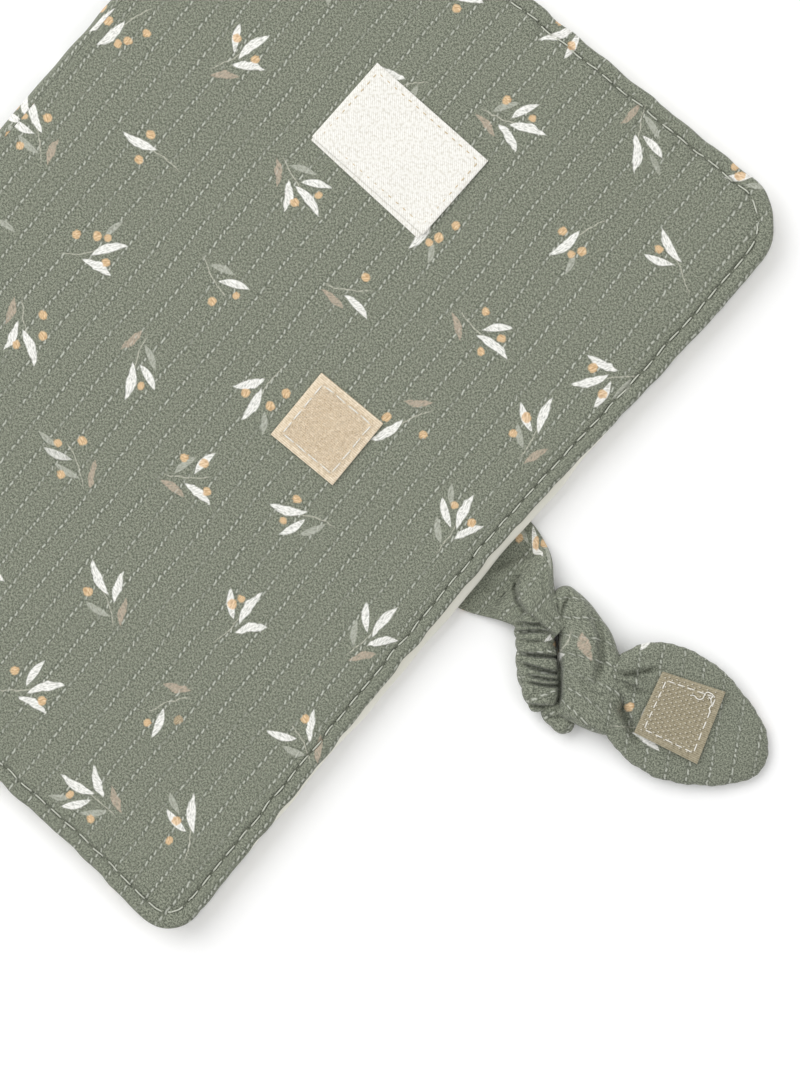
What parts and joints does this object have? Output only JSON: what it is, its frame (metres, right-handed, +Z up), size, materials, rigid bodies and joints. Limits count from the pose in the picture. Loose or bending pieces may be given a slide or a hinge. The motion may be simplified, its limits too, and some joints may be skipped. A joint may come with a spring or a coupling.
{
  "type": "folding changing pad",
  "caption": "Portable padded changing mat folded like an accordion, with a waterproof lining and a knotted fabric tab that closes on a hook and loop patch.",
  "frame": {"origin": "middle of the folded pad's underside, on the surface it lies on", "axes": "+X from the left folds to the tab, +Y towards the end with the label, +Z up through the folded panels"},
  "size_m": [0.2475, 0.2353, 0.0118],
  "materials": {
    "printed_cotton": "woven cotton with dashed pinstripes and a scattered sprig print",
    "waterproof_lining": "smooth coated cotton, satin",
    "wadding": "needled polyester wadding",
    "sage_thread": "spun thread",
    "label_cotton": "plain twill tape, blank",
    "tan_thread": "spun thread",
    "loop_tape": "brushed loop pile",
    "hook_tape": "woven tape with rows of small hooks",
    "white_thread": "spun thread"
  },
  "bodies": {
    "back_panel": {"back_cover": "printed_cotton", "back_wadding": "wadding", "back_lining": "waterproof_lining", "back_topstitch": "sage_thread", "back_fold_cover": "printed_cotton", "back_fold_lining": "waterproof_lining", "tab_root": "printed_cotton"},
    "second_panel": {"second_cover": "printed_cotton", "second_wadding": "wadding", "second_lining": "waterproof_lining", "second_topstitch": "sage_thread", "inner_fold_cover": "printed_cotton", "inner_fold_lining": "waterproof_lining"},
    "third_panel": {"third_cover": "printed_cotton", "third_wadding": "wadding", "third_lining": "waterproof_lining", "third_topstitch": "sage_thread", "front_fold_cover": "printed_cotton", "front_fold_lining": "waterproof_lining"},
    "front_flap": {"front_cover": "printed_cotton", "front_wadding": "wadding", "front_lining": "waterproof_lining", "front_topstitch": "sage_thread", "label": "label_cotton", "label_stitches": "tan_thread", "loop_patch": "loop_tape", "loop_patch_stitches": "white_thread"},
    "strap": {"tab_strap": "printed_cotton"},
    "knot_and_leaf": {"tab_knot": "printed_cotton", "tab_leaf": "printed_cotton", "tab_leaf_wadding": "wadding", "hook_patch": "hook_tape", "hook_patch_stitches": "white_thread"}
  },
  "joints": [
    {"name": "unfold", "type": "hinge", "parent": "back_panel", "child": "second_panel", "pos_m": [-0.08, 0, 0.00235], "axis": [0, -1, 0], "range_deg": [0, 179.9], "deforming": ["back_fold_cover", "back_fold_lining"]},
    {"name": "inner_fold", "type": "hinge", "parent": "second_panel", "child": "third_panel", "pos_m": [0.077, 0, 0.00485], "axis": [0, 1, 0], "range_deg": [0, 179.9], "deforming": ["inner_fold_cover", "inner_fold_lining"]},
    {"name": "open_flap", "type": "hinge", "parent": "third_panel", "child": "front_flap", "pos_m": [-0.08, 0, 0.00735], "axis": [0, -1, 0], "range_deg": [0, 179.9], "deforming": ["front_fold_cover", "front_fold_lining"]},
    {"name": "lift_strap", "type": "hinge", "parent": "back_panel", "child": "strap", "pos_m": [0.0805, 0, 0.0024], "axis": [0, -1, 0], "range_deg": [0, 90]},
    {"name": "turn_tab", "type": "hinge", "parent": "strap", "child": "knot_and_leaf", "pos_m": [0.0935, 0, 0.009], "axis": [0, -1, 0], "range_deg": [0, 97]}
  ],
  "couplings": [
    {"joint": "inner_fold", "follows": "unfold", "ratio": 1}
  ]
}
